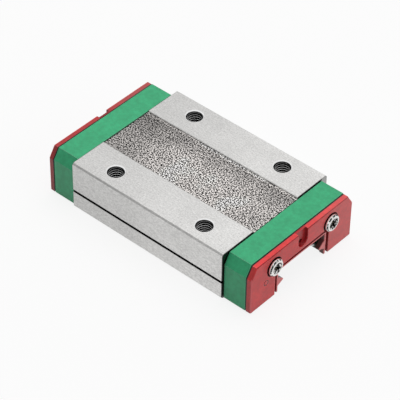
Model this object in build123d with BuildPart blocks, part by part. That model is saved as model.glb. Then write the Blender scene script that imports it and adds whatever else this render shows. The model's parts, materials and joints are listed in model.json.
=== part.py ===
from build123d import *
from math import asin, cos, floor, pi, radians, sin, tan
import os

# Linear bearing block with two circuits of recirculating balls, for a 12 mm wide miniature rail.
# X runs along the rail, Y across it and Z up. The origin is in the middle of the block, on its
# bottom face. Front is +X, left is +Y. All sizes are in millimetres.

os.makedirs("parts", exist_ok=True)

# Steel block
block_length = 34.0
block_width = 27.0
block_height = 10.0
block_top_chamfer = 0.4
block_foot_chamfer = 0.45
block_end_chamfer = 0.1
recess_width = 11.4
recess_depth = 0.35
recess_edge_chamfer = 0.15
side_groove_height = 3.9
side_groove_width = 0.42
side_groove_depth = 0.35

# Threaded mounting holes in the top face
mount_spacing_x = 20.0
mount_spacing_y = 20.0
mount_hole_radius = 1.5
mount_hole_depth = 3.5
mount_mouth_radius = 1.66
mount_mouth_angle = 90.0
drill_angle = 118.0

# Section of the rail that the block runs on, with heights above the block's bottom face
rail_width = 12.0
rail_top = 5.0
raceway_height = 2.45
raceway_mouth = 2.2

# Channel in the block
channel_gap = 0.5
channel_roof_gap = 0.25
channel_roof_fillet = 0.4
channel_foot_chamfer = 0.3

# Balls and their path
ball_radius = 1.1905
ball_gap = 0.045
raceway_clearance = 0.1
return_clearance = 0.15
return_edge = 2.6

# Caps at the ends of the block
cap_wall = 1.1
cap_side_inset = 0.4
cap_top_inset = 0.22
cap_bottom_inset = 0.4
cap_chamfer_y = 1.3
cap_chamfer_z = 2.05
cap_edge_chamfer = 0.18
cap_rail_clearance = 0.25
cap_tip_fillet = 0.12

# Half spools on the inner side of the ball turns
guide_flange = 0.26
guide_clearance = 0.05

# Seals over the caps, with a lip that follows the rail
seal_thickness = 1.05
seal_top_step = 0.1
seal_edge_fillet = 0.22
seal_rail_clearance = 0.05
seal_tip_fillet = 0.12
lip_width = 0.35
lip_groove_width = 0.55
lip_groove_depth = 0.5
lip_set_back = 0.1
lip_edge_chamfer = 0.06

# Tooth of the lip: deeper than the raceway, for the relief groove along the raceway's bottom
tooth_reach = 0.32
tooth_drop = 0.12
tooth_foot_rise = 0.3

# Round mark that the mould leaves on the right half of each seal
mould_mark_radius = 0.58
mould_mark_width = 0.16
mould_mark_depth = 0.08
mould_mark_offset = 9.3
mould_mark_height = 4.7

# Notch and grease port in the top of each seal, and the grease way in the cap
notch_half_width = 1.22
notch_drop = 3.53
notch_depth = 0.6
port_radius = 0.45
port_wall = 0.4
grease_way_width = 0.6
grease_way_depth = 0.5
grease_way_drop = 1.1

# Screws that hold each seal and cap to the block
screw_spacing = 14.6
screw_drop = 3.0
screw_shank_radius = 0.97
screw_thread_clearance = 0.03
screw_pass_clearance = 0.15
screw_length = 8.0
screw_point_chamfer = 0.3
screw_hole_spare = 0.9
head_radius = 1.65
head_height = 1.3
head_rim_fillet = 0.42
head_dish_radius = 1.08
head_dish_depth = 0.12
head_pocket_clearance = 0.2
head_pocket_depth = 0.62
cross_span = 2.1
cross_width = 0.52
cross_depth = 0.9
cross_taper = 12.0

# Wires that keep the loaded balls in when the block is off its rail
wire_radius = 0.2
wire_ball_clearance = 0.08
wire_bend_radius = 0.6
wire_leg = 1.6
wire_end_wall = 0.5
wire_hole_clearance = 0.05

# Sizes and places that follow from those above
front_face = block_length / 2
row_y = rail_width / 2
return_y = block_width / 2 - return_edge
turn_radius = (return_y - row_y) / 2
turn_y = (return_y + row_y) / 2
tube_radius = ball_radius + return_clearance
raceway_bottom = row_y - ball_radius
ball_spacing = 2 * ball_radius + ball_gap
balls_per_row = floor(block_length / ball_spacing)
row_pitch = block_length / balls_per_row
balls_per_turn = floor(pi / (2 * asin(ball_spacing / (2 * turn_radius))))
turn_step = pi / balls_per_turn

channel_half_width = rail_width / 2 + channel_gap
channel_roof = rail_top + channel_roof_gap

cap_thickness = turn_radius + tube_radius + cap_wall
cap_face = front_face + cap_thickness
cap_half_width = block_width / 2 - cap_side_inset
cap_top = block_height - cap_top_inset
guide_radius = turn_radius - guide_clearance
guide_height = 2 * (tube_radius + guide_flange)

seal_face = cap_face + seal_thickness
lip_half_width = rail_width / 2 + seal_rail_clearance + lip_width
lip_top = rail_top + seal_rail_clearance + lip_width
notch_centre = block_height - notch_drop + notch_half_width
port_height = block_height - notch_drop + port_wall + port_radius

screw_y = screw_spacing / 2
screw_height = block_height - screw_drop
head_seat = seal_face - head_pocket_depth
head_top = head_seat + head_height
screw_hole_depth = screw_length - (head_seat - front_face) + screw_hole_spare

wire_y = raceway_bottom - wire_radius - wire_ball_clearance
wire_end_x = cap_face - wire_end_wall

sides = {"left": 1, "right": -1}
ends = {"front": 1, "rear": -1}
cross_angles = {"left": 20, "right": 58}


def cap_outline(top_step=0.0):
    """Outline of a cap, with its top lowered by top_step."""
    half_width = cap_half_width
    bottom = cap_bottom_inset
    top = cap_top - top_step
    with BuildSketch() as outline:
        Polygon(
            (-half_width, bottom),
            (half_width, bottom),
            (half_width, top - cap_chamfer_z),
            (half_width - cap_chamfer_y, top),
            (cap_chamfer_y - half_width, top),
            (-half_width, top - cap_chamfer_z),
            align=None,
        )
    return outline.sketch


def rail_opening(clearance, tip_fillet, reach=0.0, drop=0.0, foot_rise=0.0):
    """Opening that follows the rail, with a tooth that reaches into each raceway.

    The tooth's tip goes beyond the raceway's bottom by reach and below its middle by drop, and its
    foot starts above the raceway's lower edge by foot_rise.
    """
    half_width = rail_width / 2 + clearance
    tip = raceway_bottom + clearance - reach
    left_side = [
        (half_width, 0),
        (half_width, raceway_height - raceway_mouth / 2 + foot_rise),
        (tip, raceway_height - drop),
        (half_width, raceway_height + raceway_mouth / 2),
        (half_width, rail_top + clearance),
    ]
    right_side = [(-y, z) for y, z in reversed(left_side)]
    with BuildSketch() as opening:
        Polygon(*left_side, *right_side, align=None)
        tips = opening.vertices().filter_by(lambda corner: abs(abs(corner.X) - tip) < tip_fillet / 2)
        fillet(tips, tip_fillet)
    return opening.sketch


def row_places(y):
    """Centres of one straight row of balls."""
    first = row_pitch / 2 - front_face
    return [(first + i * row_pitch, y, raceway_height) for i in range(balls_per_row)]


def turn_places(end, side):
    """Centres of the balls in one half turn."""
    angles = [(i + 0.5) * turn_step for i in range(balls_per_turn)]
    along = [end * (front_face + turn_radius * sin(angle)) for angle in angles]
    across = [side * (turn_y - turn_radius * cos(angle)) for angle in angles]
    return [(x, y, raceway_height) for x, y in zip(along, across)]


def end_plane(end, x):
    """Plane across the rail at a distance x from the middle, facing out of the given end."""
    return Plane(origin=(end * x, 0, 0), x_dir=(0, end, 0), z_dir=(end, 0, 0))


def save(piece, name):
    """Name a finished piece and write it."""
    piece.part.label = name
    export_step(piece.part, f"parts/{name}.step")


def save_both_ends(piece, name, tail=""):
    """Write a piece of the front end, and its mirror image at the rear end."""
    save(piece, f"{name}_front{tail}")
    with BuildPart() as rear_piece:
        mirror(piece.part, about=Plane.YZ)
    save(rear_piece, f"{name}_rear{tail}")


# Steel block: one ground section, then its holes
with BuildPart() as block:
    with BuildSketch(end_plane(1, -front_face)) as section:
        with Locations((0, block_height / 2)):
            Rectangle(block_width, block_height)
        chamfer(section.vertices().group_by(Axis.Y)[-1], block_top_chamfer)
        chamfer(section.vertices().group_by(Axis.Y)[0], block_foot_chamfer)
    extrude(amount=block_length)
    chamfer(block.faces().filter_by(Axis.X).edges(), block_end_chamfer)

    with BuildSketch(end_plane(1, -front_face)) as channel:
        Polygon(
            (-channel_half_width - channel_foot_chamfer, 0),
            (-channel_half_width, channel_foot_chamfer),
            (-channel_half_width, channel_roof),
            (channel_half_width, channel_roof),
            (channel_half_width, channel_foot_chamfer),
            (channel_half_width + channel_foot_chamfer, 0),
            align=None,
        )
        fillet(channel.vertices().group_by(Axis.Y)[-1], channel_roof_fillet)
        with Locations((-row_y, raceway_height), (row_y, raceway_height)):
            Circle(ball_radius + raceway_clearance)
        with Locations((-return_y, raceway_height), (return_y, raceway_height)):
            Circle(tube_radius)
        with Locations((-block_width / 2, side_groove_height)):
            Rectangle(2 * side_groove_depth, side_groove_width)
    extrude(amount=block_length, mode=Mode.SUBTRACT)

    recess_floor = block_height - recess_depth
    recess_brim = recess_width / 2 + recess_edge_chamfer
    with BuildSketch(end_plane(1, -front_face)):
        Polygon(
            (-recess_width / 2, recess_floor),
            (recess_width / 2, recess_floor),
            (recess_width / 2, block_height - recess_edge_chamfer),
            (recess_brim, block_height),
            (-recess_brim, block_height),
            (-recess_width / 2, block_height - recess_edge_chamfer),
            align=None,
        )
    extrude(amount=block_length, mode=Mode.SUBTRACT)

    drill_point = mount_hole_radius / tan(radians(drill_angle / 2))
    with Locations(Plane.XY.offset(block_height)):
        with GridLocations(mount_spacing_x, mount_spacing_y, 2, 2):
            CounterSinkHole(mount_hole_radius, mount_mouth_radius, mount_hole_depth, mount_mouth_angle)
    with Locations(Plane.XY.offset(block_height - mount_hole_depth)):
        with GridLocations(mount_spacing_x, mount_spacing_y, 2, 2):
            Cone(
                0,
                mount_hole_radius,
                drill_point,
                align=(Align.CENTER, Align.CENTER, Align.MAX),
                mode=Mode.SUBTRACT,
            )

    for end in ends.values():
        with Locations(end_plane(end, front_face)):
            with Locations((-screw_y, screw_height), (screw_y, screw_height)):
                Hole(screw_shank_radius + screw_thread_clearance, screw_hole_depth)
save(block, "block")


# Cap: moulded body with the outer side of both ball turns and the way for the grease
with BuildPart() as end_cap:
    with BuildSketch(end_plane(1, front_face)):
        add(cap_outline())
    extrude(amount=cap_thickness)
    chamfer(end_cap.faces().filter_by(Axis.X).edges(), cap_edge_chamfer)

    with BuildSketch(end_plane(1, front_face)):
        add(rail_opening(cap_rail_clearance, cap_tip_fillet))
    extrude(amount=cap_thickness, mode=Mode.SUBTRACT)

    with Locations((front_face, -turn_y, raceway_height), (front_face, turn_y, raceway_height)):
        Torus(turn_radius, tube_radius, mode=Mode.SUBTRACT)
        Cylinder(guide_radius + guide_clearance, guide_height + 2 * guide_clearance, mode=Mode.SUBTRACT)

    with Locations(end_plane(1, cap_face)):
        with Locations((-screw_y, screw_height), (screw_y, screw_height)):
            Hole(screw_shank_radius + screw_pass_clearance)
        with Locations((0, port_height)):
            Hole(port_radius)

    with BuildSketch(end_plane(1, front_face)):
        way_height = cap_top - grease_way_drop
        with Locations((0, way_height)):
            Rectangle(2 * return_y + grease_way_width, grease_way_width)
        with Locations((0, (way_height + port_height) / 2)):
            Rectangle(grease_way_width, way_height - port_height)
        down_middle = (way_height + raceway_height) / 2
        with Locations((-return_y, down_middle), (return_y, down_middle)):
            Rectangle(grease_way_width, way_height - raceway_height)
    extrude(amount=grease_way_depth, mode=Mode.SUBTRACT)

    wire_hole_length = wire_leg + wire_hole_clearance
    for side in sides.values():
        with BuildSketch(Plane(origin=(0, side * wire_y, 0), x_dir=(-side, 0, 0), z_dir=(0, side, 0))):
            with Locations((-side * wire_end_x, raceway_height)):
                Circle(wire_radius + wire_hole_clearance)
        extrude(amount=wire_hole_length, mode=Mode.SUBTRACT)
save_both_ends(end_cap, "end_cap")


# Half spools in the ball turns, flat against the block
for side_name, side in sides.items():
    with BuildPart() as return_guide:
        with BuildSketch(Plane.XY.offset(raceway_height - guide_height / 2)):
            with Locations((front_face, side * turn_y)):
                Circle(guide_radius)
            with Locations((front_face, side * turn_y)):
                Rectangle(guide_radius, 2 * guide_radius, align=(Align.MAX, Align.CENTER), mode=Mode.SUBTRACT)
        extrude(amount=guide_height)
        with Locations((front_face, side * turn_y, raceway_height)):
            Torus(turn_radius, tube_radius, mode=Mode.SUBTRACT)
    save_both_ends(return_guide, "return_guide", f"_{side_name}")


# Seal: plate with rounded edges, the lip round the rail, the notch and the pockets for the screw heads
with BuildPart() as end_seal:
    with BuildSketch(end_plane(1, cap_face)):
        add(cap_outline(seal_top_step))
    extrude(amount=seal_thickness)
    rim = end_seal.faces().sort_by(Axis.X)[-1].edges().sort_by(Axis.Z)[1:]
    fillet(rim, seal_edge_fillet)

    with BuildSketch(end_plane(1, cap_face)):
        add(rail_opening(seal_rail_clearance, seal_tip_fillet, tooth_reach, tooth_drop, tooth_foot_rise))
    extrude(amount=seal_thickness, mode=Mode.SUBTRACT)

    groove_half_width = lip_half_width + lip_groove_width
    groove_top = lip_top + lip_groove_width
    with BuildSketch(end_plane(1, seal_face - lip_set_back)):
        Rectangle(2 * groove_half_width, groove_top, align=(Align.CENTER, Align.MIN))
    extrude(amount=lip_set_back, mode=Mode.SUBTRACT)
    with BuildSketch(end_plane(1, seal_face - lip_groove_depth)):
        Rectangle(2 * groove_half_width, groove_top, align=(Align.CENTER, Align.MIN))
        Rectangle(2 * lip_half_width, lip_top, align=(Align.CENTER, Align.MIN), mode=Mode.SUBTRACT)
    extrude(amount=lip_groove_depth, mode=Mode.SUBTRACT)

    lip_face = end_seal.faces().filter_by(Axis.X).filter_by_position(
        Axis.X, seal_face - 1.5 * lip_set_back, seal_face - 0.5 * lip_set_back
    )
    chamfer(lip_face.edges(), lip_edge_chamfer)

    with BuildSketch(end_plane(1, seal_face - notch_depth)):
        with Locations((0, notch_centre)):
            Circle(notch_half_width)
            Rectangle(2 * notch_half_width, block_height, align=(Align.CENTER, Align.MIN))
    extrude(amount=notch_depth, mode=Mode.SUBTRACT)

    with Locations(end_plane(1, seal_face)):
        with Locations((-screw_y, screw_height), (screw_y, screw_height)):
            CounterBoreHole(
                screw_shank_radius + screw_pass_clearance,
                head_radius + head_pocket_clearance,
                head_pocket_depth,
            )
        with Locations((0, port_height)):
            Hole(port_radius)

    with BuildSketch(end_plane(1, seal_face - mould_mark_depth)):
        with Locations((-mould_mark_offset, mould_mark_height)):
            Circle(mould_mark_radius)
            Circle(mould_mark_radius - mould_mark_width, mode=Mode.SUBTRACT)
    extrude(amount=mould_mark_depth, mode=Mode.SUBTRACT)
save_both_ends(end_seal, "end_seal")


# Screws: pan head with a cross recess, its underside on the floor of the pocket in the seal
for side_name, side in sides.items():
    head_place = (side * screw_y, screw_height)
    with BuildPart() as screw:
        with BuildSketch(end_plane(1, head_seat)):
            with Locations(head_place):
                Circle(head_radius)
        extrude(amount=head_height)
        fillet(screw.edges().sort_by(Axis.X)[-1], head_rim_fillet)
        with BuildSketch(end_plane(1, head_top)):
            with Locations(head_place):
                Circle(head_dish_radius)
        extrude(amount=-head_dish_depth, taper=45, mode=Mode.SUBTRACT)
        with BuildSketch(end_plane(1, head_top)):
            with Locations(Location((*head_place, 0), cross_angles[side_name])):
                Rectangle(cross_span, cross_width)
                Rectangle(cross_width, cross_span)
        extrude(amount=-cross_depth, taper=cross_taper, mode=Mode.SUBTRACT)
        with BuildSketch(end_plane(1, head_seat)):
            with Locations(head_place):
                Circle(screw_shank_radius)
        extrude(amount=-screw_length)
        chamfer(screw.edges().sort_by(Axis.X)[0], screw_point_chamfer)
    save_both_ends(screw, "screw", f"_{side_name}")


# Wires under the loaded balls, with their bent ends in the caps
for side_name, side in sides.items():
    with BuildPart() as retainer_wire:
        with BuildLine() as route:
            FilletPolyline(
                (-wire_end_x, side * (wire_y + wire_leg), raceway_height),
                (-wire_end_x, side * wire_y, raceway_height),
                (wire_end_x, side * wire_y, raceway_height),
                (wire_end_x, side * (wire_y + wire_leg), raceway_height),
                radius=wire_bend_radius,
            )
        with BuildSketch(Plane(origin=route.line @ 0, z_dir=route.line % 0)):
            Circle(wire_radius)
        sweep()
    save(retainer_wire, f"retainer_wire_{side_name}")


# Balls: a loaded row and a return row on each side, and the balls in the four turns
def save_balls(places, name):
    """Write one group of balls with their centres at the given places."""
    with BuildPart() as balls:
        with Locations(*places):
            Sphere(ball_radius)
    save(balls, name)


for side_name, side in sides.items():
    save_balls(row_places(side * row_y), f"load_balls_{side_name}")
    save_balls(row_places(side * return_y), f"return_balls_{side_name}")
    for end_name, end in ends.items():
        save_balls(turn_places(end, side), f"turn_balls_{end_name}_{side_name}")
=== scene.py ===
import json
import math

import bmesh
import bpy
from bpy.props import FloatProperty, FloatVectorProperty, PointerProperty
from mathutils import Matrix, Vector, noise


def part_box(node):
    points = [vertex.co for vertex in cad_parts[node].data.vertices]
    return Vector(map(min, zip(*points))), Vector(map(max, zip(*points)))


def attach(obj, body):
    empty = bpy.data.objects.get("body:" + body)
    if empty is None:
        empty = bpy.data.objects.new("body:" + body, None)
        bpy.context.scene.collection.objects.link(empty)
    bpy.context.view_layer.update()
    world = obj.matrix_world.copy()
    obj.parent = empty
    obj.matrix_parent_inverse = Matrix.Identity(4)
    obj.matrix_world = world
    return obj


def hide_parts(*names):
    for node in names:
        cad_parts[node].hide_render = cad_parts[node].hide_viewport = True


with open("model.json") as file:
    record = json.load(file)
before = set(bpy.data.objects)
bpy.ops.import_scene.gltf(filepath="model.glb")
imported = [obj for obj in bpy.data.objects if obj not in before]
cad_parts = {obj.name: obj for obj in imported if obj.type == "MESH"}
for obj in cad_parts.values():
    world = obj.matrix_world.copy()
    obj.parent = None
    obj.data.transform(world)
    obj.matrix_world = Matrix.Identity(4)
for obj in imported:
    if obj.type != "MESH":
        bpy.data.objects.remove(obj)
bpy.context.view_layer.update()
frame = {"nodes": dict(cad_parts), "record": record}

bl_info = {
    "name": "Linear Bearing Block",
    "version": (1, 0, 0),
    "blender": (4, 5, 0),
    "location": "3D View > Sidebar > Bearing Block",
    "description": "Looks of a miniature guide block with green caps and red end seals",
    "category": "Object",
}

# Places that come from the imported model, in metres
MM = 0.001
NODES = frame["nodes"]
CARRIAGE = "carriage"
ENDS = {"front": 1, "rear": -1}
SIDES = {"left": 1, "right": -1}
BLOCK_LOW, BLOCK_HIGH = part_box("block")
BLOCK_TOP = BLOCK_HIGH.z
JOINT_X = BLOCK_HIGH.x
SEAM_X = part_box("end_cap_front")[1].x
SEAL_FACE, SEAL_SIDE, SEAL_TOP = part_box("end_seal_front")[1]
MOUNTS = {mount["name"]: mount for mount in frame["record"]["mounts"]}
HOLES = MOUNTS["mounting_holes"]["dims"]
HOLE_X = HOLES["spacing_x_mm"] / 2 * MM
HOLE_Y = HOLES["spacing_y_mm"] / 2 * MM
HOLE_RADIUS = HOLES["hole_r_mm"] * MM
SCREW_LOW, SCREW_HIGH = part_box("screw_front_left")
SCREW_Y = (SCREW_LOW.y + SCREW_HIGH.y) / 2
SCREW_Z = (SCREW_LOW.z + SCREW_HIGH.z) / 2
HEAD_RADIUS = (SCREW_HIGH.y - SCREW_LOW.y) / 2
HEAD_TOP = SCREW_HIGH.x

# Features of the block: heights, and distances from its middle planes or from a hole's axis
LIT_TOP_FACE = (BLOCK_TOP - 0.04 * MM, BLOCK_TOP - 0.02 * MM)
CHAMFER_SIDE = (BLOCK_HIGH.y - 0.36 * MM, BLOCK_HIGH.y - 0.33 * MM)
CHAMFER_LINE = (9.71 * MM, 9.88 * MM)
MOUTH_RING = (1.5 * MM, 1.68 * MM)
MOUTH_HEIGHT = (9.8 * MM, 9.84 * MM)
BORE_WALL = (HOLE_RADIUS + 0.01 * MM, HOLE_RADIUS + 0.05 * MM)
BORE_HEIGHT = (2.0 * MM, BLOCK_TOP - 0.3 * MM)
GROOVE_WALL = (BLOCK_LOW.y + 0.4 * MM, BLOCK_LOW.y + 0.5 * MM)
GROOVE_HEIGHT = (3.63 * MM, 4.17 * MM)
LIT_FAR_CORNER = (11.9 * MM, 12.1 * MM)

# The recess in the top of the block, and where its painted light and shade change
RECESS_DEPTH = 0.35 * MM
RECESS_HALF_WIDTH = 5.69 * MM
REAR_HALF = (-17.0 * MM, -2.0 * MM)
FRONT_END = (11.0 * MM, 16.5 * MM)
FAR_HALF = (0.0, 5.4 * MM)
NEAR_STRIP = (-5.64 * MM, -5.46 * MM)
FAR_STRIP = (5.0 * MM, 5.3 * MM)

# The grain skin on the floor of the recess
GRAIN_STEP = 0.1 * MM
GRAIN_GAP = 0.02 * MM
GRAIN_BASE = 0.006 * MM
GRAIN_FOOT = 0.002 * MM
GRAIN_MIDDLE = 0.5
COARSE_SHARE = 0.65
FINE_SHARE = 0.35
FINE_RATIO = 2.3

# A mounting thread: its turns, its heights on the block, and its profile in pitches
THREAD_FACETS = 72
THREAD_TURNS = 6.6
THREAD_START = BLOCK_TOP + 0.1 * MM
THREAD_MOUTH = BLOCK_TOP - 0.17 * MM
THREAD_SHADE = (BLOCK_TOP - 1.2 * MM, BLOCK_TOP - 0.4 * MM)
THREAD_GAP = 0.004 * MM
ROOT_RISE = 0.42
CREST_RISE = 0.13
RUN_IN_TURNS = 0.25
RUN_IN_SHARE = 0.08

# Where a thread gets painted highlights: outward from its crest, and by how far its faces look up
CREST_SKIN = (0.002 * MM, 0.035 * MM)
LIT_FLANK = (0.02 * MM, 0.06 * MM)
UPWARD_SPAN = (0.2, 0.5)

# Openings round the rail, each a half width and the height of its roof, and their soft borders
BLOCK_CHANNEL = (6.7 * MM, 5.4 * MM)
CAP_CHANNEL = (6.32 * MM, 5.32 * MM)
SEAL_LIP = (6.33 * MM, 5.33 * MM)
LIP_GROOVE_OUTSIDE = (6.98 * MM, 5.98 * MM)
LIP_GROOVE_INSIDE = (6.37 * MM, 5.34 * MM)
BEHIND_LIP = (6.1 * MM, 5.1 * MM)
CHANNEL_BORDER = (0.0, 0.05 * MM)
LIP_BORDER = (0.01 * MM, 0.01 * MM)

# Other features of a seal, and how deep they lie behind its face
NOTCH_SIDE = (1.24 * MM, 1.27 * MM)
NOTCH_HEIGHT = (6.2 * MM, 6.3 * MM)
MARK_Y, MARK_Z = 9.3 * MM, 4.7 * MM
MARK_RING = (0.38 * MM, 0.62 * MM)
HEAD_POCKET = (HEAD_RADIUS - 0.1 * MM, HEAD_RADIUS + 0.22 * MM)
TOP_BEVEL = (SEAL_TOP - 0.16 * MM, SEAL_TOP - 0.10 * MM)
SIDE_BEVEL = (SEAL_SIDE - 0.24 * MM, SEAL_SIDE - 0.16 * MM)
TOP_HIGHLIGHT_SPAN = (SEAL_TOP - 0.06 * MM, SEAL_TOP - 0.02 * MM)
REAR_TO_FRONT = (-1.0 * MM, 1.0 * MM)
SHEEN_SIDE = (-1.0 * MM, 9.0 * MM)
MARK_DEPTH = (0.01 * MM, 0.03 * MM)
NOTCH_DEPTH = (0.05 * MM, 0.35 * MM)
LIP_DEPTH = (0.06 * MM, 0.08 * MM)
BEHIND_DEPTH = (0.22 * MM, 0.28 * MM)
TOP_BEVEL_DEPTH = (0.10 * MM, 0.16 * MM)
SIDE_BEVEL_DEPTH = (0.16 * MM, 0.24 * MM)

# A screw head: radii, and depths below its top
DISH_RIM = (1.08 * MM, 1.16 * MM)
CROSS_MIDDLE = (0.50 * MM, 0.62 * MM)
CROSS_CORE = (0.26 * MM, 0.34 * MM)
CROSS_FLOOR = (0.14 * MM, 0.2 * MM)
SHOULDER = (0.06 * MM, 0.26 * MM)
HEAD_FOOT = (0.46 * MM, 0.54 * MM)

# Rounding of sharp edges, with the angles in degrees
HEAD_ROUNDING = 0.03 * MM
MERGE_DISTANCE = 0.0005 * MM
FLAT_ANGLE = 0.5
SHARP_ANGLE = 28
ROUNDING_STEPS = 2

# Tones and colours of painted highlights, painted shade and painted reflections, and of the mould
# mark and the top bevel line
EDGE_HIGHLIGHT_TONE = 1.2
MOUTH_HIGHLIGHT_GREY = 0.86
CREST_HIGHLIGHT_GREY = 0.96
PIT_SHADE_TONE, PEAK_GLINT_TONE = 0.01, 2.85
BORE_SHADE_BLACK = 0.01
GROOVE_SHADE_BLACK = 0.012
DARK_BETWEEN_TURNS = 0.002
HEAD_DARK_REFLECTION = 0.01
CROSS_SHADE_BLACK = 0.012
MIDDLE_SHADE_GREY = 0.02
EDGE_HIGHLIGHT_SHARE = 0.45
MARK_SHARE = 0.6
LIP_GROOVE_SHARE = 0.92
NOTCH_SHARE = 0.75
LIP_HIGHLIGHT_PINK = (0.88, 0.26, 0.26)
SHADE_RED = (0.30, 0.003, 0.006)
TOP_BEVEL_RED = (0.26, 0.004, 0.01)
SIDE_HIGHLIGHT_RED = (0.9, 0.20, 0.22)
SHEEN_RED = (0.86, 0.42, 0.40)
CORE_REFLECTION_TINT = (0.36, 0.30, 0.20)

# Spans of a noise texture's values: most lie in the first, and a narrow one gives hard contrast
NOISE_SPAN = (0.3, 0.7)
GRIND_SPAN = (0.25, 0.75)
FLECK_SPAN = (0.34, 0.66)
DARK_REFLECTION_SPAN = (0.43, 0.48)
PEAK_SPAN = (0.482, 0.527)

# The stage
FLOOR_REACH = 1.6
FLOOR_CELLS = 16
FLOOR_DROP = 0.02 * MM
FLOOR_GLOW = 0.86
KEY_WIDTH, KEY_PLACE = 1.05, (-0.12, 0.10, 0.85)
FILL_WIDTH, FILL_PLACE = 0.5, (0.80, 0.10, 0.42)
CARD_X, CARD_Y = 0.70, 0.43
CARD_HALF_WIDTH = 0.16
CARD_FOOT = 0.10
CARD_HEIGHT = 0.26
CARD_ROWS = 6
FELT_GREY = 0.06
ROOM_SPAN = (-0.7, 0.7)
ROOM_DIM, ROOM_BRIGHT = 0.1, 1.6
SENSOR_WIDTH = 36.0
NEAREST, FARTHEST = 0.01, 10.0


def colour_setting(name, description, default):
    """A colour that the sidebar shows."""
    return FloatVectorProperty(
        name=name,
        description=description,
        subtype="COLOR",
        size=3,
        min=0.0,
        max=1.0,
        default=default,
    )


def length_setting(name, description, default):
    """A length in metres that the sidebar shows."""
    return FloatProperty(
        name=name,
        description=description,
        unit="LENGTH",
        precision=6,
        min=0.0,
        default=default,
    )


def angle_setting(name, description, degrees):
    """An angle that the sidebar shows, with its default in degrees."""
    return FloatProperty(
        name=name, description=description, subtype="ANGLE", default=math.radians(degrees)
    )


def amount_setting(name, description, default, **limits):
    """A plain number that the sidebar shows."""
    return FloatProperty(name=name, description=description, default=default, **limits)


class BearingFinish(bpy.types.PropertyGroup):
    """Colours and surface sizes of the bearing block."""

    steel: colour_setting(
        "Ground steel", "Colour of the ground faces of the block", (0.615, 0.61, 0.60)
    )
    blasted: colour_setting(
        "Blasted steel", "Middle tone of the rough recess", (0.34, 0.325, 0.315)
    )
    cap: colour_setting("Cap", "Colour of the moulded end caps", (0.042, 0.47, 0.212))
    seal: colour_setting("Seal", "Colour of the end seals", (0.67, 0.038, 0.04))
    chrome: colour_setting("Screws", "Colour of the plated screws", (0.82, 0.81, 0.79))
    guide: colour_setting(
        "Return guides", "Colour of the half spools in the ball turns", (0.78, 0.76, 0.70)
    )
    grain: length_setting("Grain", "Size of one grain of the blasted recess", 0.236 * MM)
    grain_height: length_setting("Grain height", "Height of the blasted grain", 0.03 * MM)
    grind: length_setting("Grinding lines", "Distance between two grinding lines", 0.09 * MM)
    edge: length_setting(
        "Edge radius", "Width of the small rounding on the sharp edges", 0.05 * MM
    )
    thread_pitch: length_setting("Thread pitch", "Pitch of the mounting threads", 0.5 * MM)
    thread_depth: length_setting(
        "Thread depth", "Height of the thread inside a hole", 0.24 * MM
    )


class BearingStage(bpy.types.PropertyGroup):
    """Camera, lamps and floor."""

    azimuth: angle_setting("Azimuth", "Camera direction round the block", 41.076)
    elevation: angle_setting("Elevation", "Camera height above the horizon", 41.543)
    roll: angle_setting("Roll", "Turn of the camera about its own line of sight", 0.852)
    distance: length_setting(
        "Distance", "From the camera to the point that it aims at", 349.476 * MM
    )
    aim_height: length_setting(
        "Aim height", "Height of the point that the camera aims at", 4.8 * MM
    )
    lens: amount_setting("Lens", "Focal length in millimetres", 183.641, min=1.0)
    shift_x: amount_setting("Shift X", "Sideways shift of the frame", 0.00258)
    shift_y: amount_setting("Shift Y", "Upward shift of the frame", -0.02037)
    key_power: amount_setting("Key lamp", "Power of the lamp overhead", 3.7, min=0.0)
    fill_power: amount_setting("Fill lamp", "Power of the lamp in front", 0.85, min=0.0)
    sky: amount_setting("Room light", "Strength of the light all round", 0.5, min=0.0)
    floor: colour_setting("Floor", "Colour of the floor", (0.74, 0.74, 0.74))


# Short calls that build the node materials


def join(tree, value, socket):
    """Gives a socket its input: a link from another socket, or a plain value."""
    if isinstance(value, bpy.types.NodeSocket):
        tree.links.new(value, socket)
    elif socket.type == "VECTOR" and len(value) == 4:
        socket.default_value = value[:3]
    else:
        socket.default_value = value


def put(tree, kind, inputs=None, **settings):
    """A shader node with its settings and inputs."""
    node = tree.nodes.new("ShaderNode" + kind)
    for key, value in settings.items():
        setattr(node, key, value)
    for socket, value in (inputs or {}).items():
        join(tree, value, node.inputs[socket])
    return node


def maths(tree, operation, first, second=0.0, third=0.0):
    """One step of arithmetic."""
    return put(tree, "Math", {0: first, 1: second, 2: third}, operation=operation).outputs[0]


def product(tree, first, *others):
    """Some values multiplied together."""
    for value in others:
        first = maths(tree, "MULTIPLY", first, value)
    return first


def largest(tree, first, *others):
    """The largest of some values."""
    for value in others:
        first = maths(tree, "MAXIMUM", first, value)
    return first


def less(tree, first, second):
    """The first value less the second."""
    return maths(tree, "SUBTRACT", first, second)


def blend(tree, factor, first, second):
    """A colour between two others."""
    return put(tree, "Mix", {0: factor, 6: first, 7: second}, data_type="RGBA").outputs[2]


def grey(value):
    """A neutral colour of the given brightness."""
    return (value, value, value, 1.0)


def shade(colour, factor=1.0):
    """A plain colour with a full alpha, made lighter or darker."""
    return (*[min(1.0, channel * factor) for channel in colour], 1.0)


def ramp(tree, value, span, first=0.0, last=1.0):
    """Goes smoothly from first to last while the value goes through the span."""
    low, high = span
    spread = put(
        tree,
        "MapRange",
        {"Value": value, "From Min": low, "From Max": high, "To Min": first, "To Max": last},
        interpolation_type="SMOOTHSTEP",
    )
    return spread.outputs[0]


def band(tree, value, span, soft):
    """One inside the span and zero outside it, with soft borders."""
    low, high = span
    rise = ramp(tree, value, (low - soft, low))
    fall = ramp(tree, value, (high, high + soft), first=1.0, last=0.0)
    return product(tree, rise, fall)


def from_axis(tree, first, second):
    """Distance from an axis, from the two distances across it."""
    squared = maths(tree, "MULTIPLY_ADD", first, first, product(tree, second, second))
    return maths(tree, "SQRT", squared)


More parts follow.
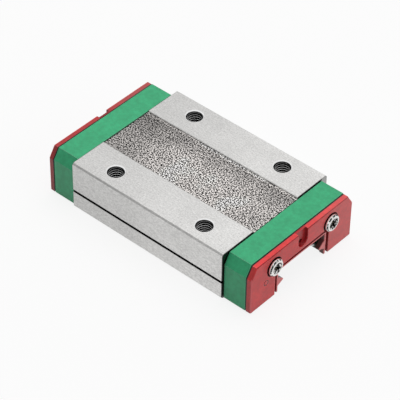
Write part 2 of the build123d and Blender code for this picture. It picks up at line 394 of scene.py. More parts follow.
def background_rays(tree):
    """One for the rays that show the background: the camera's, and those off metal or glass."""
    path = put(tree, "LightPath").outputs
    bounced = largest(tree, path["Is Glossy Ray"], path["Is Transmission Ray"])
    return largest(tree, path["Is Camera Ray"], bounced)


class Surface:
    """A node material in the making: its shader, its places on the piece, and shared steps."""

    def __init__(self, name, metallic, roughness, **plain):
        self.material = bpy.data.materials.new(name)
        self.material.use_nodes = True
        self.tree = self.material.node_tree
        self.shader = self.tree.nodes["Principled BSDF"]
        self.shader.inputs["Metallic"].default_value = metallic
        self.shader.inputs["Roughness"].default_value = roughness
        for socket, value in plain.items():
            self.shader.inputs[socket.replace("_", " ")].default_value = value
        self.place = put(self.tree, "TexCoord").outputs["Object"]
        self.x, self.y, self.z = put(self.tree, "SeparateXYZ", {0: self.place}).outputs
        self.relief = None

    @property
    def along(self):
        """Distance from the middle of the block along the rail, the same at both ends."""
        return maths(self.tree, "ABSOLUTE", self.x)

    @property
    def across(self):
        """Distance from the middle of the block across the rail, the same on both sides."""
        return maths(self.tree, "ABSOLUTE", self.y)

    def from_hole(self):
        """Distance from the axis of the nearest mounting hole."""
        tree = self.tree
        return from_axis(tree, less(tree, self.along, HOLE_X), less(tree, self.across, HOLE_Y))

    def from_screw(self):
        """Distance from the axis of the nearest screw."""
        tree = self.tree
        return from_axis(tree, less(tree, self.across, SCREW_Y), less(tree, self.z, SCREW_Z))

    def from_mark(self):
        """Distance from the axis of the nearest mould mark on a seal."""
        tree = self.tree
        return from_axis(tree, less(tree, self.across, MARK_Y), less(tree, self.z, MARK_Z))

    def in_opening(self, opening, border):
        """One inside an opening round the rail, with a border from inward to outward of it."""
        tree = self.tree
        half_width, roof = opening
        inward, outward = border
        side = (half_width - inward, half_width + outward)
        top = (roof - inward, roof + outward)
        narrow = ramp(tree, self.across, side, first=1.0, last=0.0)
        return product(tree, narrow, ramp(tree, self.z, top, first=1.0, last=0.0))

    def noise(self, size, stretch=(1.0, 1.0, 1.0), detail=2.0, roughness=0.5):
        """Noise with features of the given size in metres, drawn out along each axis."""
        scale = tuple(1.0 / (size * factor) for factor in stretch)
        fitted = put(self.tree, "Mapping", {"Vector": self.place, "Scale": scale}).outputs[0]
        made = put(
            self.tree,
            "TexNoise",
            {"Vector": fitted, "Scale": 1.0, "Detail": detail, "Roughness": roughness},
        )
        return made.outputs[0]

    def corner_shadow(self, reach, darkest, span=(0.15, 0.75), alone=True):
        """A factor under one in corners narrower than reach, the piece's own if alone is set."""
        around = put(
            self.tree, "AmbientOcclusion", {"Distance": reach}, samples=8, only_local=alone
        )
        return ramp(self.tree, around.outputs["AO"], span, first=darkest, last=1.0)

    def joint_line(self, place, inward, outward, depth):
        """A factor under one for painted shade in the line where two pieces meet, at either end.
        """
        line = band(self.tree, self.along, (place - inward, place + outward), soft=0.02 * MM)
        return less(self.tree, 1.0, product(self.tree, line, depth))

    def edges(self, radius, span=(0.02, 0.16)):
        """One on the sharp edges of the piece, within the given radius."""
        rounded = put(self.tree, "Bevel", {"Radius": radius}, samples=6).outputs[0]
        flat = put(self.tree, "NewGeometry").outputs["Normal"]
        match = put(self.tree, "VectorMath", {0: rounded, 1: flat}, operation="DOT_PRODUCT")
        return ramp(self.tree, less(self.tree, 1.0, match.outputs["Value"]), span)

    def mottled(self, pattern, tint, dark, light):
        """A setting's colour that goes from darker to lighter with a noise."""
        between = ramp(self.tree, pattern, NOISE_SPAN)
        return blend(self.tree, between, shade(tint, dark), shade(tint, light))

    def scaled(self, colour, factor):
        """A colour made darker or lighter by a factor."""
        scaling = {0: colour, "Scale": factor}
        return put(self.tree, "VectorMath", scaling, operation="SCALE").outputs[0]

    def graded(self, colour, value, span, first, last):
        """A colour scaled from first to last while the value goes through the span."""
        return self.scaled(colour, ramp(self.tree, value, span, first, last))

    def dimmed(self, colour, mask, share):
        """A colour that loses the given share of its brightness where the mask is one."""
        return self.scaled(colour, maths(self.tree, "MULTIPLY_ADD", mask, -share, 1.0))

    def overlaid(self, colour, mask, share, overlay):
        """A colour that takes on the given share of another colour where the mask is one."""
        return blend(self.tree, product(self.tree, mask, share), colour, overlay)

    def bump(self, height, depth, weight):
        """Adds a height field of the given depth in metres to the piece's relief."""
        inputs = {"Height": height, "Distance": depth, "Strength": weight}
        if self.relief is not None:
            inputs["Normal"] = self.relief
        self.relief = put(self.tree, "Bump", inputs).outputs[0]

    def finish(self, colour, roughness=None):
        """Joins the colour, the roughness and the relief to the shader."""
        join(self.tree, colour, self.shader.inputs["Base Color"])
        if roughness is not None:
            join(self.tree, roughness, self.shader.inputs["Roughness"])
        if self.relief is not None:
            join(self.tree, self.relief, self.shader.inputs["Normal"])
        return self.material


# Materials


def ground_steel(look):
    """Ground bearing steel: grinding lines, painted highlights on the edges and hole mouths,
    painted shade on the side chamfers, in the holes, the side groove and the rail channel, a
    painted shade line at each cap which painted light makes faint at the far corners, and painted
    light that brightens the top face and the front end."""
    made = Surface("ground_steel", metallic=1.0, roughness=0.34)
    tree = made.tree
    lines = made.noise(look.grind, stretch=(16.0, 1.0, 1.0), detail=3.0, roughness=0.6)
    fleck = made.noise(size=0.2 * MM, stretch=(1.6, 1.0, 1.0), detail=1.0)
    cloud = made.noise(size=6.0 * MM, stretch=(1.3, 1.0, 1.0), detail=1.0)
    colour = made.mottled(lines, look.steel, dark=0.86, light=1.09)
    colour = made.graded(colour, fleck, FLECK_SPAN, first=0.88, last=1.085)
    colour = made.graded(colour, cloud, NOISE_SPAN, first=0.97, last=1.03)
    # Painted shade and light: the steel is painted darker towards the rear end and lighter at the
    # front.
    colour = made.graded(colour, made.x, (BLOCK_LOW.x, BLOCK_HIGH.x), first=0.86, last=1.02)
    # Painted light: the top face is painted brighter than the sides.
    colour = made.graded(colour, made.z, LIT_TOP_FACE, first=1.0, last=1.22)
    # Painted shade: a darker band on the side chamfers of the top, for the dark reflection they
    # show.
    chamfer = band(tree, made.z, CHAMFER_LINE, soft=0.07 * MM)
    chamfer = product(tree, ramp(tree, made.across, CHAMFER_SIDE), chamfer)
    colour = made.dimmed(colour, chamfer, share=0.40)
    # Painted highlight on the sharp edges.
    colour = blend(tree, made.edges(radius=0.1 * MM), colour, shade(look.steel, EDGE_HIGHLIGHT_TONE))
    # Painted highlight: a bright ring on the chamfer round each hole mouth.
    mouth = band(tree, made.from_hole(), MOUTH_RING, soft=0.03 * MM)
    mouth = product(tree, mouth, ramp(tree, made.z, MOUTH_HEIGHT))
    colour = blend(tree, mouth, colour, grey(MOUTH_HIGHLIGHT_GREY))
    # Painted shade: the wall behind the thread in each hole is painted black.
    bore = ramp(tree, made.from_hole(), BORE_WALL, first=1.0, last=0.0)
    bore = product(tree, bore, band(tree, made.z, BORE_HEIGHT, soft=0.1 * MM))
    colour = blend(tree, bore, colour, grey(BORE_SHADE_BLACK))
    # Painted shade: the side groove is painted near black.
    groove = ramp(tree, made.y, GROOVE_WALL, first=1.0, last=0.0)
    groove = product(tree, groove, band(tree, made.z, GROOVE_HEIGHT, soft=0.02 * MM))
    colour = blend(tree, groove, colour, grey(GROOVE_SHADE_BLACK))
    in_corners = made.corner_shadow(reach=0.7 * MM, darkest=0.12)
    in_channel = made.corner_shadow(reach=5.0 * MM, darkest=0.05, span=(0.2, 0.7))
    colour = made.scaled(made.scaled(colour, in_corners), in_channel)
    # Painted shade on the walls of the rail channel.
    colour = made.dimmed(colour, made.in_opening(BLOCK_CHANNEL, CHANNEL_BORDER), share=0.7)
    # Painted shade in the seam at each cap, lifted by painted light at the far corners.
    joint = made.joint_line(JOINT_X, inward=0.09 * MM, outward=0.1 * MM, depth=0.9)
    joint = largest(tree, joint, ramp(tree, made.y, LIT_FAR_CORNER, first=0.0, last=0.55))
    colour = made.scaled(colour, joint)
    made.bump(lines, depth=0.0012 * MM, weight=0.6)
    return made.finish(colour, ramp(tree, lines, GRIND_SPAN, first=0.30, last=0.42))


def blasted_steel(look):
    """Blasted steel on the floor of the recess: painted shade in the pits and painted glints on
    the grains, painted shade that darkens it towards the ends and the far side, a painted shadow
    strip along the near wall and a painted highlight strip along the far wall."""
    made = Surface("blasted_steel", metallic=0.85, roughness=0.6)
    tree = made.tree
    grains = made.noise(look.grain, detail=1.0)
    cloud = made.noise(size=5.0 * MM)
    # Painted shade in the pits and painted glints on the grains.
    peaks = ramp(tree, grains, PEAK_SPAN)
    colour = blend(tree, peaks, shade(look.blasted, PIT_SHADE_TONE), shade(look.blasted, PEAK_GLINT_TONE))
    colour = made.graded(colour, cloud, NOISE_SPAN, first=0.88, last=1.08)
    # Painted shade and light: darker towards both ends and the far side, a painted shadow strip
    # along the near wall and a painted highlight strip along the far wall.
    colour = made.graded(colour, made.x, REAR_HALF, first=0.66, last=1.06)
    colour = made.graded(colour, made.x, FRONT_END, first=1.0, last=0.85)
    colour = made.graded(colour, made.y, FAR_HALF, first=1.0, last=0.68)
    colour = made.graded(colour, made.y, NEAR_STRIP, first=0.3, last=1.0)
    colour = made.graded(colour, made.y, FAR_STRIP, first=1.0, last=1.6)
    made.bump(grains, depth=look.grain_height, weight=0.7)
    return made.finish(colour)


def thread_steel(look):
    """Cut thread: painted highlights on the crests and upward flanks, painted black shade between
    them, and painted shade that dims it at the mouth.
    """
    made = Surface("thread_steel", metallic=1.0, roughness=0.34)
    tree = made.tree
    crest = HOLE_RADIUS - look.thread_depth
    out = made.from_hole()
    normal = put(tree, "NewGeometry").outputs["Normal"]
    upward = ramp(tree, put(tree, "SeparateXYZ", {0: normal}).outputs["Z"], UPWARD_SPAN)
    at_crest = [crest + step for step in CREST_SKIN]
    at_flank = [crest + step for step in LIT_FLANK]
    # Painted highlight on the crests and on the flanks that face upward.
    flank = product(tree, upward, ramp(tree, out, at_flank, first=0.75, last=0.0))
    tone = largest(tree, ramp(tree, out, at_crest, first=1.0, last=0.0), flank)
    # Painted shade dims the thread near the mouth.
    tone = product(tree, tone, ramp(tree, made.z, THREAD_SHADE, first=1.0, last=0.3))
    colour = blend(tree, tone, grey(DARK_BETWEEN_TURNS), grey(CREST_HIGHLIGHT_GREY))
    flecks = made.noise(size=0.12 * MM)
    return made.finish(made.graded(colour, flecks, NOISE_SPAN, first=0.75, last=1.1))


def moulded_plastic(name, tint, gloss, highlight_tone, darkest=(0.1, 0.04), marks=None):
    """Satin moulded plastic: fine skin texture, a cloudy and mottled tone, painted highlights on
    the edges, painted shade in the joints, and the given darkest tones of painted shadow in
    corners and hollows. The marks are a call that adds what only this moulding has, such as
    painted shade and painted highlights."""
    made = Surface(name, metallic=0.0, roughness=gloss, Specular_IOR_Level=0.38)
    tree = made.tree
    skin = made.noise(size=0.16 * MM, detail=3.0, roughness=0.6)
    cloud = made.noise(size=2.6 * MM, detail=3.0)
    mottle = made.noise(size=0.75 * MM)
    colour = made.mottled(cloud, tint, dark=0.92, light=1.07)
    colour = made.graded(colour, skin, NOISE_SPAN, first=0.94, last=1.05)
    colour = made.graded(colour, mottle, NOISE_SPAN, first=0.93, last=1.07)
    # Painted highlight on the edges.
    edge_highlight = [(1.0 - EDGE_HIGHLIGHT_SHARE) * channel + EDGE_HIGHLIGHT_SHARE * highlight_tone for channel in tint]
    edges = made.edges(radius=0.12 * MM, span=(0.008, 0.07))
    colour = made.overlaid(colour, edges, share=0.8, overlay=shade(edge_highlight))
    in_corners = made.corner_shadow(reach=0.45 * MM, darkest=darkest[0])
    in_hollows = made.corner_shadow(reach=3.0 * MM, darkest=darkest[1], span=(0.25, 0.6))
    colour = made.scaled(made.scaled(colour, in_corners), in_hollows)
    # Painted shade in the joint with the block and in the seam between cap and seal.
    joint = made.joint_line(JOINT_X, inward=0.1 * MM, outward=0.13 * MM, depth=0.94)
    seam = made.joint_line(SEAM_X, inward=0.13 * MM, outward=0.11 * MM, depth=0.98)
    colour = made.scaled(made.scaled(colour, joint), seam)
    if marks is not None:
        colour = marks(made, colour)
    made.bump(skin, depth=0.004 * MM, weight=0.5)
    matt = ramp(tree, skin, NOISE_SPAN, first=gloss - 0.05, last=gloss + 0.06)
    return made.finish(colour, matt)


def cap_channel_shade(made, colour):
    """Painted shade on the walls of the rail opening in a cap."""
    return made.dimmed(colour, made.in_opening(CAP_CHANNEL, CHANNEL_BORDER), share=0.94)


def seal_marks_and_painted_light(made, colour):
    """Painted highlights on the lip, on the side bevel and along the top of the face, painted
    shade behind the lip, round the screw heads, in the lip's groove and the notch and on the rear
    seal's top and sides, a darker mould mark ring, a dark red top bevel line and a painted
    whitish sheen on the far side."""
    tree = made.tree
    depth = less(tree, SEAL_FACE, made.along)
    # Painted highlight along the lip round the rail.
    at_lip = ramp(tree, depth, LIP_DEPTH)
    lip = product(tree, made.in_opening(SEAL_LIP, LIP_BORDER), at_lip)
    colour = made.overlaid(colour, lip, share=0.7, overlay=shade(LIP_HIGHLIGHT_PINK))
    # Painted shade behind the lip and round the screw heads; the mould mark ring is darkened too.
    behind = made.in_opening(BEHIND_LIP, LIP_BORDER)
    behind = product(tree, behind, ramp(tree, depth, BEHIND_DEPTH))
    pocket = band(tree, made.from_screw(), HEAD_POCKET, soft=0.02 * MM)
    mark = band(tree, made.from_mark(), MARK_RING, soft=0.02 * MM)
    mark = product(tree, mark, ramp(tree, depth, MARK_DEPTH), MARK_SHARE)
    colour = made.dimmed(colour, largest(tree, behind, pocket, mark), share=0.86)
    # Painted shade in the lip's groove and in the notch, in a deep red.
    groove = less(
        tree,
        made.in_opening(LIP_GROOVE_OUTSIDE, LIP_BORDER),
        made.in_opening(LIP_GROOVE_INSIDE, LIP_BORDER),
    )
    groove = product(tree, groove, at_lip, LIP_GROOVE_SHARE)
    notch = ramp(tree, made.across, NOTCH_SIDE, first=1.0, last=0.0)
    notch = product(tree, ramp(tree, depth, NOTCH_DEPTH), notch)
    notch = product(tree, notch, ramp(tree, made.z, NOTCH_HEIGHT), NOTCH_SHARE)
    colour = blend(tree, largest(tree, groove, notch), colour, shade(SHADE_RED))
    top_bevel = ramp(tree, depth, TOP_BEVEL_DEPTH, first=1.0, last=0.0)
    top_bevel = product(tree, top_bevel, ramp(tree, made.z, TOP_BEVEL))
    colour = made.overlaid(colour, top_bevel, share=0.8, overlay=shade(TOP_BEVEL_RED))
    # Painted highlight on the side bevel.
    side_bevel = ramp(tree, depth, SIDE_BEVEL_DEPTH, first=1.0, last=0.0)
    side_bevel = product(tree, side_bevel, ramp(tree, made.across, SIDE_BEVEL))
    colour = made.overlaid(colour, side_bevel, share=0.6, overlay=shade(SIDE_HIGHLIGHT_RED))
    # Painted highlight along the top of the face.
    colour = made.graded(colour, made.z, TOP_HIGHLIGHT_SPAN, first=1.0, last=1.35)
    # Painted shade on the top and sides of the rear seal.
    rear_edge = ramp(tree, made.x, REAR_TO_FRONT, first=1.0, last=0.0)
    rear_edge = product(tree, rear_edge, ramp(tree, depth, SIDE_BEVEL_DEPTH))
    colour = made.dimmed(colour, rear_edge, share=0.44)
    # Painted sheen, whitish, that grows towards the far side.
    sheen = ramp(tree, made.y, SHEEN_SIDE, first=0.0, last=0.12)
    return blend(tree, sheen, colour, shade(SHEEN_RED))


def screw_chrome(look):
    """Bright plated steel: painted dark reflections on the shoulder and in the dish, painted
    black shade in the cross, its middle and at the foot of the head, and a painted brownish
    reflection at the very middle of the cross."""
    made = Surface("screw_chrome", metallic=1.0, roughness=0.2)
    tree = made.tree
    out = made.from_screw()
    depth = less(tree, HEAD_TOP, made.along)
    marks = made.noise(size=0.07 * MM, stretch=(0.4, 1.0, 1.0))
    flecks = ramp(tree, made.noise(size=0.42 * MM, detail=1.0), DARK_REFLECTION_SPAN)
    colour = made.mottled(marks, look.chrome, dark=0.86, light=1.08)
    dish = ramp(tree, out, DISH_RIM, first=1.0, last=0.0)
    shoulder = band(tree, depth, SHOULDER, soft=0.03 * MM)
    # Painted dark reflections in patches on the shoulder and in the dish, and painted shade at
    # the foot of the head.
    dark = product(tree, largest(tree, dish, shoulder), flecks)
    dark = largest(tree, dark, ramp(tree, depth, HEAD_FOOT))
    colour = made.overlaid(colour, dark, share=0.95, overlay=grey(HEAD_DARK_REFLECTION))
    # Painted shade in the cross and its middle.
    cross = product(tree, dish, ramp(tree, depth, CROSS_FLOOR))
    colour = blend(tree, cross, colour, grey(CROSS_SHADE_BLACK))
    middle = ramp(tree, out, CROSS_MIDDLE, first=1.0, last=0.0)
    colour = blend(tree, middle, colour, grey(MIDDLE_SHADE_GREY))
    # Painted brownish reflection at the very middle of the cross.
    core = ramp(tree, out, CROSS_CORE, first=1.0, last=0.0)
    colour = blend(tree, core, colour, shade(CORE_REFLECTION_TINT))
    colour = made.scaled(colour, made.corner_shadow(reach=0.5 * MM, darkest=0.05))
    made.bump(marks, depth=0.002 * MM, weight=0.5)
    return made.finish(colour, ramp(tree, marks, NOISE_SPAN, first=0.14, last=0.26))


def ball_steel(look):
    """Polished balls with a very fine lapped grain."""
    made = Surface("ball_steel", metallic=1.0, roughness=0.08)
    lapped = made.noise(size=0.05 * MM)
    colour = made.mottled(lapped, look.chrome, dark=0.93, light=1.05)
    between_balls = made.corner_shadow(reach=0.5 * MM, darkest=0.25, alone=False)
    colour = made.scaled(colour, between_balls)
    return made.finish(colour, ramp(made.tree, lapped, NOISE_SPAN, first=0.05, last=0.11))


def drawn_wire(look):
    """Drawn spring steel, with its lines along the wire."""
    made = Surface("drawn_wire", metallic=1.0, roughness=0.3)
    lines = made.noise(size=0.03 * MM, stretch=(60.0, 1.0, 1.0))
    colour = made.mottled(lines, look.steel, dark=0.75, light=1.0)
    made.bump(lines, depth=0.002 * MM, weight=0.6)
    return made.finish(colour, ramp(made.tree, lines, NOISE_SPAN, first=0.24, last=0.4))


# Pieces


def wear(piece, material):
    """Gives a piece one material."""
    piece.data.materials.clear()
    piece.data.materials.append(material)


def add_object(name, data):
    """Puts a new object in the scene."""
    added = bpy.data.objects.new(name, data)
    bpy.context.scene.collection.objects.link(added)
    return added


def new_piece(name, mesh, material):
    """Adds a finished mesh as a piece that rides on the carriage."""
    piece = add_object(name, mesh)
    wear(piece, material)
    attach(piece, CARRIAGE)
    return piece


def rounded_copy(node, width, material):
    """Puts a copy of a node with its sharp edges slightly rounded in place of that node."""
    mesh = NODES[node].data.copy()
    mesh.name = node + "_rounded"
    work = bmesh.new()
    work.from_mesh(mesh)
    bmesh.ops.remove_doubles(work, verts=work.verts, dist=MERGE_DISTANCE)
    bmesh.ops.dissolve_limit(
        work,
        angle_limit=math.radians(FLAT_ANGLE),
        verts=work.verts,
        edges=work.edges,
        delimit={"NORMAL"},
    )
    for face in work.faces:
        face.smooth = True
    work.to_mesh(mesh)
    work.free()
    piece = new_piece(node + "_rounded", mesh, material)
    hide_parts(node)
    bevel = piece.modifiers.new("Edge rounding", "BEVEL")
    bevel.width = width
    bevel.segments = ROUNDING_STEPS
    bevel.limit_method = "ANGLE"
    bevel.angle_limit = math.radians(SHARP_ANGLE)
    bevel.harden_normals = False
    bevel.use_clamp_overlap = True
    normals = piece.modifiers.new("Face normals", "WEIGHTED_NORMAL")
    normals.keep_sharp = False


def closed_mesh(name, work):
    """A mesh from a closed bmesh, with its faces turned outward."""
    bmesh.ops.recalc_face_normals(work, faces=work.faces)
    mesh = bpy.data.meshes.new(name)
    work.to_mesh(mesh)
    work.free()
    return mesh


def flat_mesh(name, corners, faces):
    """A plain mesh from its corners and faces."""
    mesh = bpy.data.meshes.new(name)
    mesh.from_pydata(corners, [], faces)
    mesh.update()
    return mesh


def grain_sheet(look):
    """Closed thin skin with blasted relief on the floor of the recess."""
    floor_z = BLOCK_TOP - RECESS_DEPTH
    half_length = JOINT_X - GRAIN_GAP
    half_width = RECESS_HALF_WIDTH
    columns = round(2 * half_length / GRAIN_STEP)
    rows = round(2 * half_width / GRAIN_STEP)
    work = bmesh.new()
    grid = []
    for i in range(columns + 1):
        line = []
        for j in range(rows + 1):
            x = -half_length + 2 * half_length * i / columns
            y = -half_width + 2 * half_width * j / rows
            spot = Vector((x, y, 0.0)) / look.grain
            rise = GRAIN_MIDDLE + COARSE_SHARE * noise.noise(spot)
            rise += FINE_SHARE * noise.noise(spot * FINE_RATIO)
            z = floor_z + GRAIN_BASE + look.grain_height * min(1.0, max(0.0, rise))
            line.append(work.verts.new((x, y, z)))
        grid.append(line)
    for i in range(columns):
        for j in range(rows):
            work.faces.new((grid[i][j], grid[i + 1][j], grid[i + 1][j + 1], grid[i][j + 1]))
    rim = [line[0] for line in grid] + grid[-1][1:] + [line[-1] for line in reversed(grid[:-1])]
    rim += list(reversed(grid[0][1:-1]))
    foot_z = floor_z + GRAIN_FOOT
    feet = [work.verts.new((vert.co.x, vert.co.y, foot_z)) for vert in rim]
    for i, top in enumerate(rim):
        after = (i + 1) % len(rim)
        work.faces.new((rim[after], top, feet[i], feet[after]))
    work.faces.new(list(reversed(feet)))
    return closed_mesh("recess_grain", work)


def thread_coil(look, x, y):
    """Closed helical ridge with the flanks and crest of a thread, inside one mounting hole."""
    wall = HOLE_RADIUS - THREAD_GAP
    crest = HOLE_RADIUS - look.thread_depth
    pitch = look.thread_pitch
    profile = (
        (wall, ROOT_RISE),
        (crest, CREST_RISE),
        (crest, -CREST_RISE),
        (wall, -ROOT_RISE),
    )
    steps = round(THREAD_TURNS * THREAD_FACETS)
    run_in = RUN_IN_TURNS * THREAD_FACETS
    work = bmesh.new()
    rings = []
    for i in range(steps + 1):
        angle = 2 * math.pi * i / THREAD_FACETS
        middle = THREAD_START - pitch * (0.5 + i / THREAD_FACETS)
        full = RUN_IN_SHARE + (1.0 - RUN_IN_SHARE) * min(1.0, i / run_in, (steps - i) / run_in)
        ring = []
        for radius, rise in profile:
            reach = wall - (wall - radius) * full
            height = min(THREAD_MOUTH, middle + rise * pitch)
            place = (x + reach * math.cos(angle), y + reach * math.sin(angle), height)
            ring.append(work.verts.new(place))
        rings.append(ring)
    for near, far in zip(rings, rings[1:]):
        for k in range(len(profile)):
            after = (k + 1) % len(profile)
            work.faces.new((near[k], near[after], far[after], far[k]))
    work.faces.new(list(reversed(rings[0])))
    work.faces.new(rings[-1])
    return closed_mesh("thread", work)


# Operators


class BEARING_OT_steel_block(bpy.types.Operator):
    """Make the ground steel block and the blasted floor of its recess"""

    bl_idname = "bearing.steel_block"
    bl_label = "Steel Block"

    def execute(self, context):
        look = context.scene.bearing_finish
        rounded_copy("block", look.edge, ground_steel(look))
        sheet = new_piece("recess_grain", grain_sheet(look), blasted_steel(look))
        sheet.data.shade_smooth()
        return {"FINISHED"}


class BEARING_OT_mounting_threads(bpy.types.Operator):
    """Make the thread turns in the four mounting holes"""

    bl_idname = "bearing.mounting_threads"
    bl_label = "Mounting Threads"

    def execute(self, context):
        look = context.scene.bearing_finish
        finish = thread_steel(look)
        for end, end_sign in ENDS.items():
            for side, side_sign in SIDES.items():
                mesh = thread_coil(look, end_sign * HOLE_X, side_sign * HOLE_Y)
                new_piece(f"mount_thread_{end}_{side}", mesh, finish)
        return {"FINISHED"}


class BEARING_OT_end_caps(bpy.types.Operator):
    """Make the green moulded caps"""

    bl_idname = "bearing.end_caps"
    bl_label = "End Caps"

    def execute(self, context):
        look = context.scene.bearing_finish
        finish = moulded_plastic(
            "cap_green", look.cap, gloss=0.42, highlight_tone=0.55, marks=cap_channel_shade
        )
        for end in ENDS:
            rounded_copy(f"end_cap_{end}", look.edge, finish)
        return {"FINISHED"}


class BEARING_OT_end_seals(bpy.types.Operator):
    """Make the red end seals"""

    bl_idname = "bearing.end_seals"
    bl_label = "End Seals"

    def execute(self, context):
        look = context.scene.bearing_finish
        finish = moulded_plastic(
            "seal_red",
            look.seal,
            gloss=0.34,
            highlight_tone=0.62,
            darkest=(0.45, 0.3),
            marks=seal_marks_and_painted_light,
        )
        for end in ENDS:
            rounded_copy(f"end_seal_{end}", look.edge, finish)
        return {"FINISHED"}


class BEARING_OT_screws(bpy.types.Operator):
    """Make the plated screws in the seals"""

    bl_idname = "bearing.screws"
    bl_label = "Screws"

    def execute(self, context):
        look = context.scene.bearing_finish
        finish = screw_chrome(look)
        for end in ENDS:
            for side in SIDES:
                rounded_copy(f"screw_{end}_{side}", HEAD_ROUNDING, finish)
        return {"FINISHED"}


class BEARING_OT_ball_circuits(bpy.types.Operator):
    """Finish the balls, the half spools that they turn round and the wires that hold them"""

    bl_idname = "bearing.ball_circuits"
    bl_label = "Ball Circuits"

    def execute(self, context):
        look = context.scene.bearing_finish
        balls = ball_steel(look)
        guides = moulded_plastic("guide_plastic", look.guide, gloss=0.45, highlight_tone=0.9)
        wires = drawn_wire(look)
        for name, node in NODES.items():
            if "balls" in name:
                wear(node, balls)
            elif name.startswith("return_guide"):
                wear(node, guides)
            elif name.startswith("retainer_wire"):
                wear(node, wires)
        return {"FINISHED"}


class BEARING_OT_stage(bpy.types.Operator):
    """Set up the floor, the soft light and the camera"""

    bl_idname = "bearing.stage"
    bl_label = "Stage"

    def execute(self, context):
        scene = context.scene
        stage = scene.bearing_stage
        lay_floor(stage)
        hang_lamps(stage)
        stand_card()
        light_room(scene, stage)
        scene.camera = aim_camera(stage)
        scene.view_settings.view_transform = "Standard"
        return {"FINISHED"}


def lay_floor(stage):
    """Pale floor that shows from above only and keeps the shadow."""
    corners = []
    for i in range(FLOOR_CELLS + 1):
        for j in range(FLOOR_CELLS + 1):
            x = FLOOR_REACH * (2 * i / FLOOR_CELLS - 1)
            y = FLOOR_REACH * (2 * j / FLOOR_CELLS - 1)
            corners.append((x, y, -FLOOR_DROP))
    row = FLOOR_CELLS + 1
    faces = []
    for i in range(FLOOR_CELLS):
        for j in range(FLOOR_CELLS):
            first = i * row + j
            faces.append((first, first + row, first + row + 1, first + 1))
    floor = add_object("floor", flat_mesh("floor", corners, faces))
    made = Surface("floor_paper", metallic=0.0, roughness=0.9, Specular_IOR_Level=0.1)
    tree = made.tree
    seen = background_rays(tree)
    colour = blend(tree, seen, shade(stage.floor), grey(1.0))
    fibre = made.noise(size=1.2 * MM, detail=4.0)
    made.finish(made.graded(colour, fibre, NOISE_SPAN, first=0.99, last=1.0))
    paper = made.shader.outputs[0]
    glow = put(tree, "Emission", {"Color": grey(1.0)}).outputs[0]
    share = product(tree, seen, FLOOR_GLOW)
    above = put(tree, "MixShader", {0: share, 1: paper, 2: glow}).outputs[0]
    clear = put(tree, "BsdfTransparent").outputs[0]
    from_below = put(tree, "NewGeometry").outputs["Backfacing"]
    sided = put(tree, "MixShader", {0: from_below, 1: above, 2: clear}).outputs[0]
    join(tree, sided, tree.nodes["Material Output"].inputs["Surface"])
    wear(floor, made.material)


def hang_lamps(stage):
    """One wide lamp overhead and a weaker one in front, both hidden from reflections."""
    for name, power, width, place in (
        ("key_lamp", stage.key_power, KEY_WIDTH, KEY_PLACE),
        ("fill_lamp", stage.fill_power, FILL_WIDTH, FILL_PLACE),
    ):
        light = bpy.data.lights.new(name, "AREA")
        light.energy = power
        light.size = width
        lamp = add_object(name, light)
        lamp.location = place
        lamp.rotation_euler = Vector(place).to_track_quat("Z", "Y").to_euler()
        lamp.visible_glossy = False


def stand_card():
    """Small dark card, hidden from the camera, which the bright screw heads reflect."""
    place = Vector((CARD_X, CARD_Y, 0.0))
    sideways = Vector((-CARD_Y, CARD_X, 0.0)).normalized() * CARD_HALF_WIDTH
    corners = []
    for i in range(CARD_ROWS + 1):
        rise = Vector((0.0, 0.0, CARD_FOOT + CARD_HEIGHT * i / CARD_ROWS))
        for side in (-1, 1):
            corners.append(place + side * sideways + rise)
    faces = [(2 * i, 2 * i + 1, 2 * i + 3, 2 * i + 2) for i in range(CARD_ROWS)]
    card = add_object("dark_card", flat_mesh("dark_card", corners, faces))
    made = Surface("card_felt", metallic=0.0, roughness=1.0, Specular_IOR_Level=0.0)
    fibre = made.noise(size=1.5 * MM, detail=3.0)
    felt = made.graded(grey(FELT_GREY), fibre, NOISE_SPAN, first=0.8, last=1.2)
    wear(card, made.finish(felt))
    card.visible_camera = False


def light_room(scene, stage):
    """Soft light all round, stronger from the far side, on a white background."""
    world = bpy.data.worlds.new("soft_room")
    world.use_nodes = True
    scene.world = world
    tree = world.node_tree
    direction = put(tree, "TexCoord").outputs["Generated"]
    far_side = put(tree, "SeparateXYZ", {0: direction}).outputs["Y"]
    soft = ramp(tree, far_side, ROOM_SPAN, first=ROOM_DIM, last=ROOM_BRIGHT)
    soft = product(tree, soft, stage.sky)
    seen = background_rays(tree)
    strength = maths(tree, "MULTIPLY_ADD", seen, less(tree, 1.0, soft), soft)
    join(tree, strength, tree.nodes["Background"].inputs["Strength"])
    tree.nodes["Background"].inputs["Color"].default_value = grey(1.0)


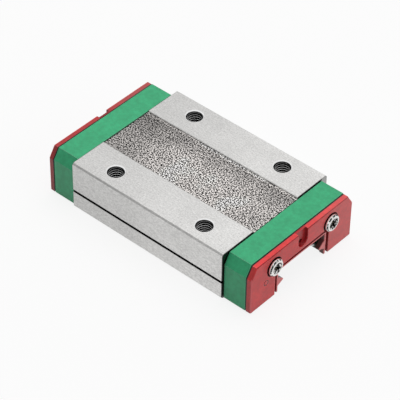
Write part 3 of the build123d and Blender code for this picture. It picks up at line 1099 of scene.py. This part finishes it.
def aim_camera(stage):
    """Camera at the photograph's viewing angle."""
    azimuth, elevation, roll = stage.azimuth, stage.elevation, stage.roll
    level = math.cos(elevation)
    back = Vector((math.sin(azimuth) * level, -math.cos(azimuth) * level, math.sin(elevation)))
    right = Vector((math.cos(azimuth), math.sin(azimuth), 0.0))
    up = back.cross(right)
    sideways = right * math.cos(roll) + up * math.sin(roll)
    upward = up * math.cos(roll) - right * math.sin(roll)
    data = bpy.data.cameras.new("camera")
    data.lens = stage.lens
    data.sensor_width = SENSOR_WIDTH
    data.shift_x = stage.shift_x
    data.shift_y = stage.shift_y
    data.clip_start = NEAREST
    data.clip_end = FARTHEST
    camera = add_object("camera", data)
    aim = Vector((0.0, 0.0, stage.aim_height))
    turn = Matrix((sideways, upward, back)).transposed().to_4x4()
    camera.matrix_world = Matrix.Translation(aim + back * stage.distance) @ turn
    return camera


class BEARING_PT_sidebar(bpy.types.Panel):
    """Lists the pieces of the bearing block and their settings"""

    bl_label = "Bearing Block"
    bl_idname = "BEARING_PT_sidebar"
    bl_space_type = "VIEW_3D"
    bl_region_type = "UI"
    bl_category = "Bearing Block"

    def draw(self, context):
        layout = self.layout
        for operator in OPERATORS:
            layout.operator(operator.bl_idname)
        for settings in (context.scene.bearing_finish, context.scene.bearing_stage):
            column = layout.column(align=True)
            for name in settings.__annotations__:
                column.prop(settings, name)


OPERATORS = (
    BEARING_OT_steel_block,
    BEARING_OT_mounting_threads,
    BEARING_OT_end_caps,
    BEARING_OT_end_seals,
    BEARING_OT_screws,
    BEARING_OT_ball_circuits,
    BEARING_OT_stage,
)
CLASSES = (BearingFinish, BearingStage, *OPERATORS, BEARING_PT_sidebar)


def register():
    for entry in CLASSES:
        bpy.utils.register_class(entry)
    bpy.types.Scene.bearing_finish = PointerProperty(type=BearingFinish)
    bpy.types.Scene.bearing_stage = PointerProperty(type=BearingStage)


def unregister():
    del bpy.types.Scene.bearing_stage
    del bpy.types.Scene.bearing_finish
    for entry in reversed(CLASSES):
        bpy.utils.unregister_class(entry)


def main():
    """Makes every piece and the stage."""
    register()
    bpy.ops.bearing.steel_block()
    bpy.ops.bearing.mounting_threads()
    bpy.ops.bearing.end_caps()
    bpy.ops.bearing.end_seals()
    bpy.ops.bearing.screws()
    bpy.ops.bearing.ball_circuits()
    bpy.ops.bearing.stage()


if __name__ == "__main__":
    main()
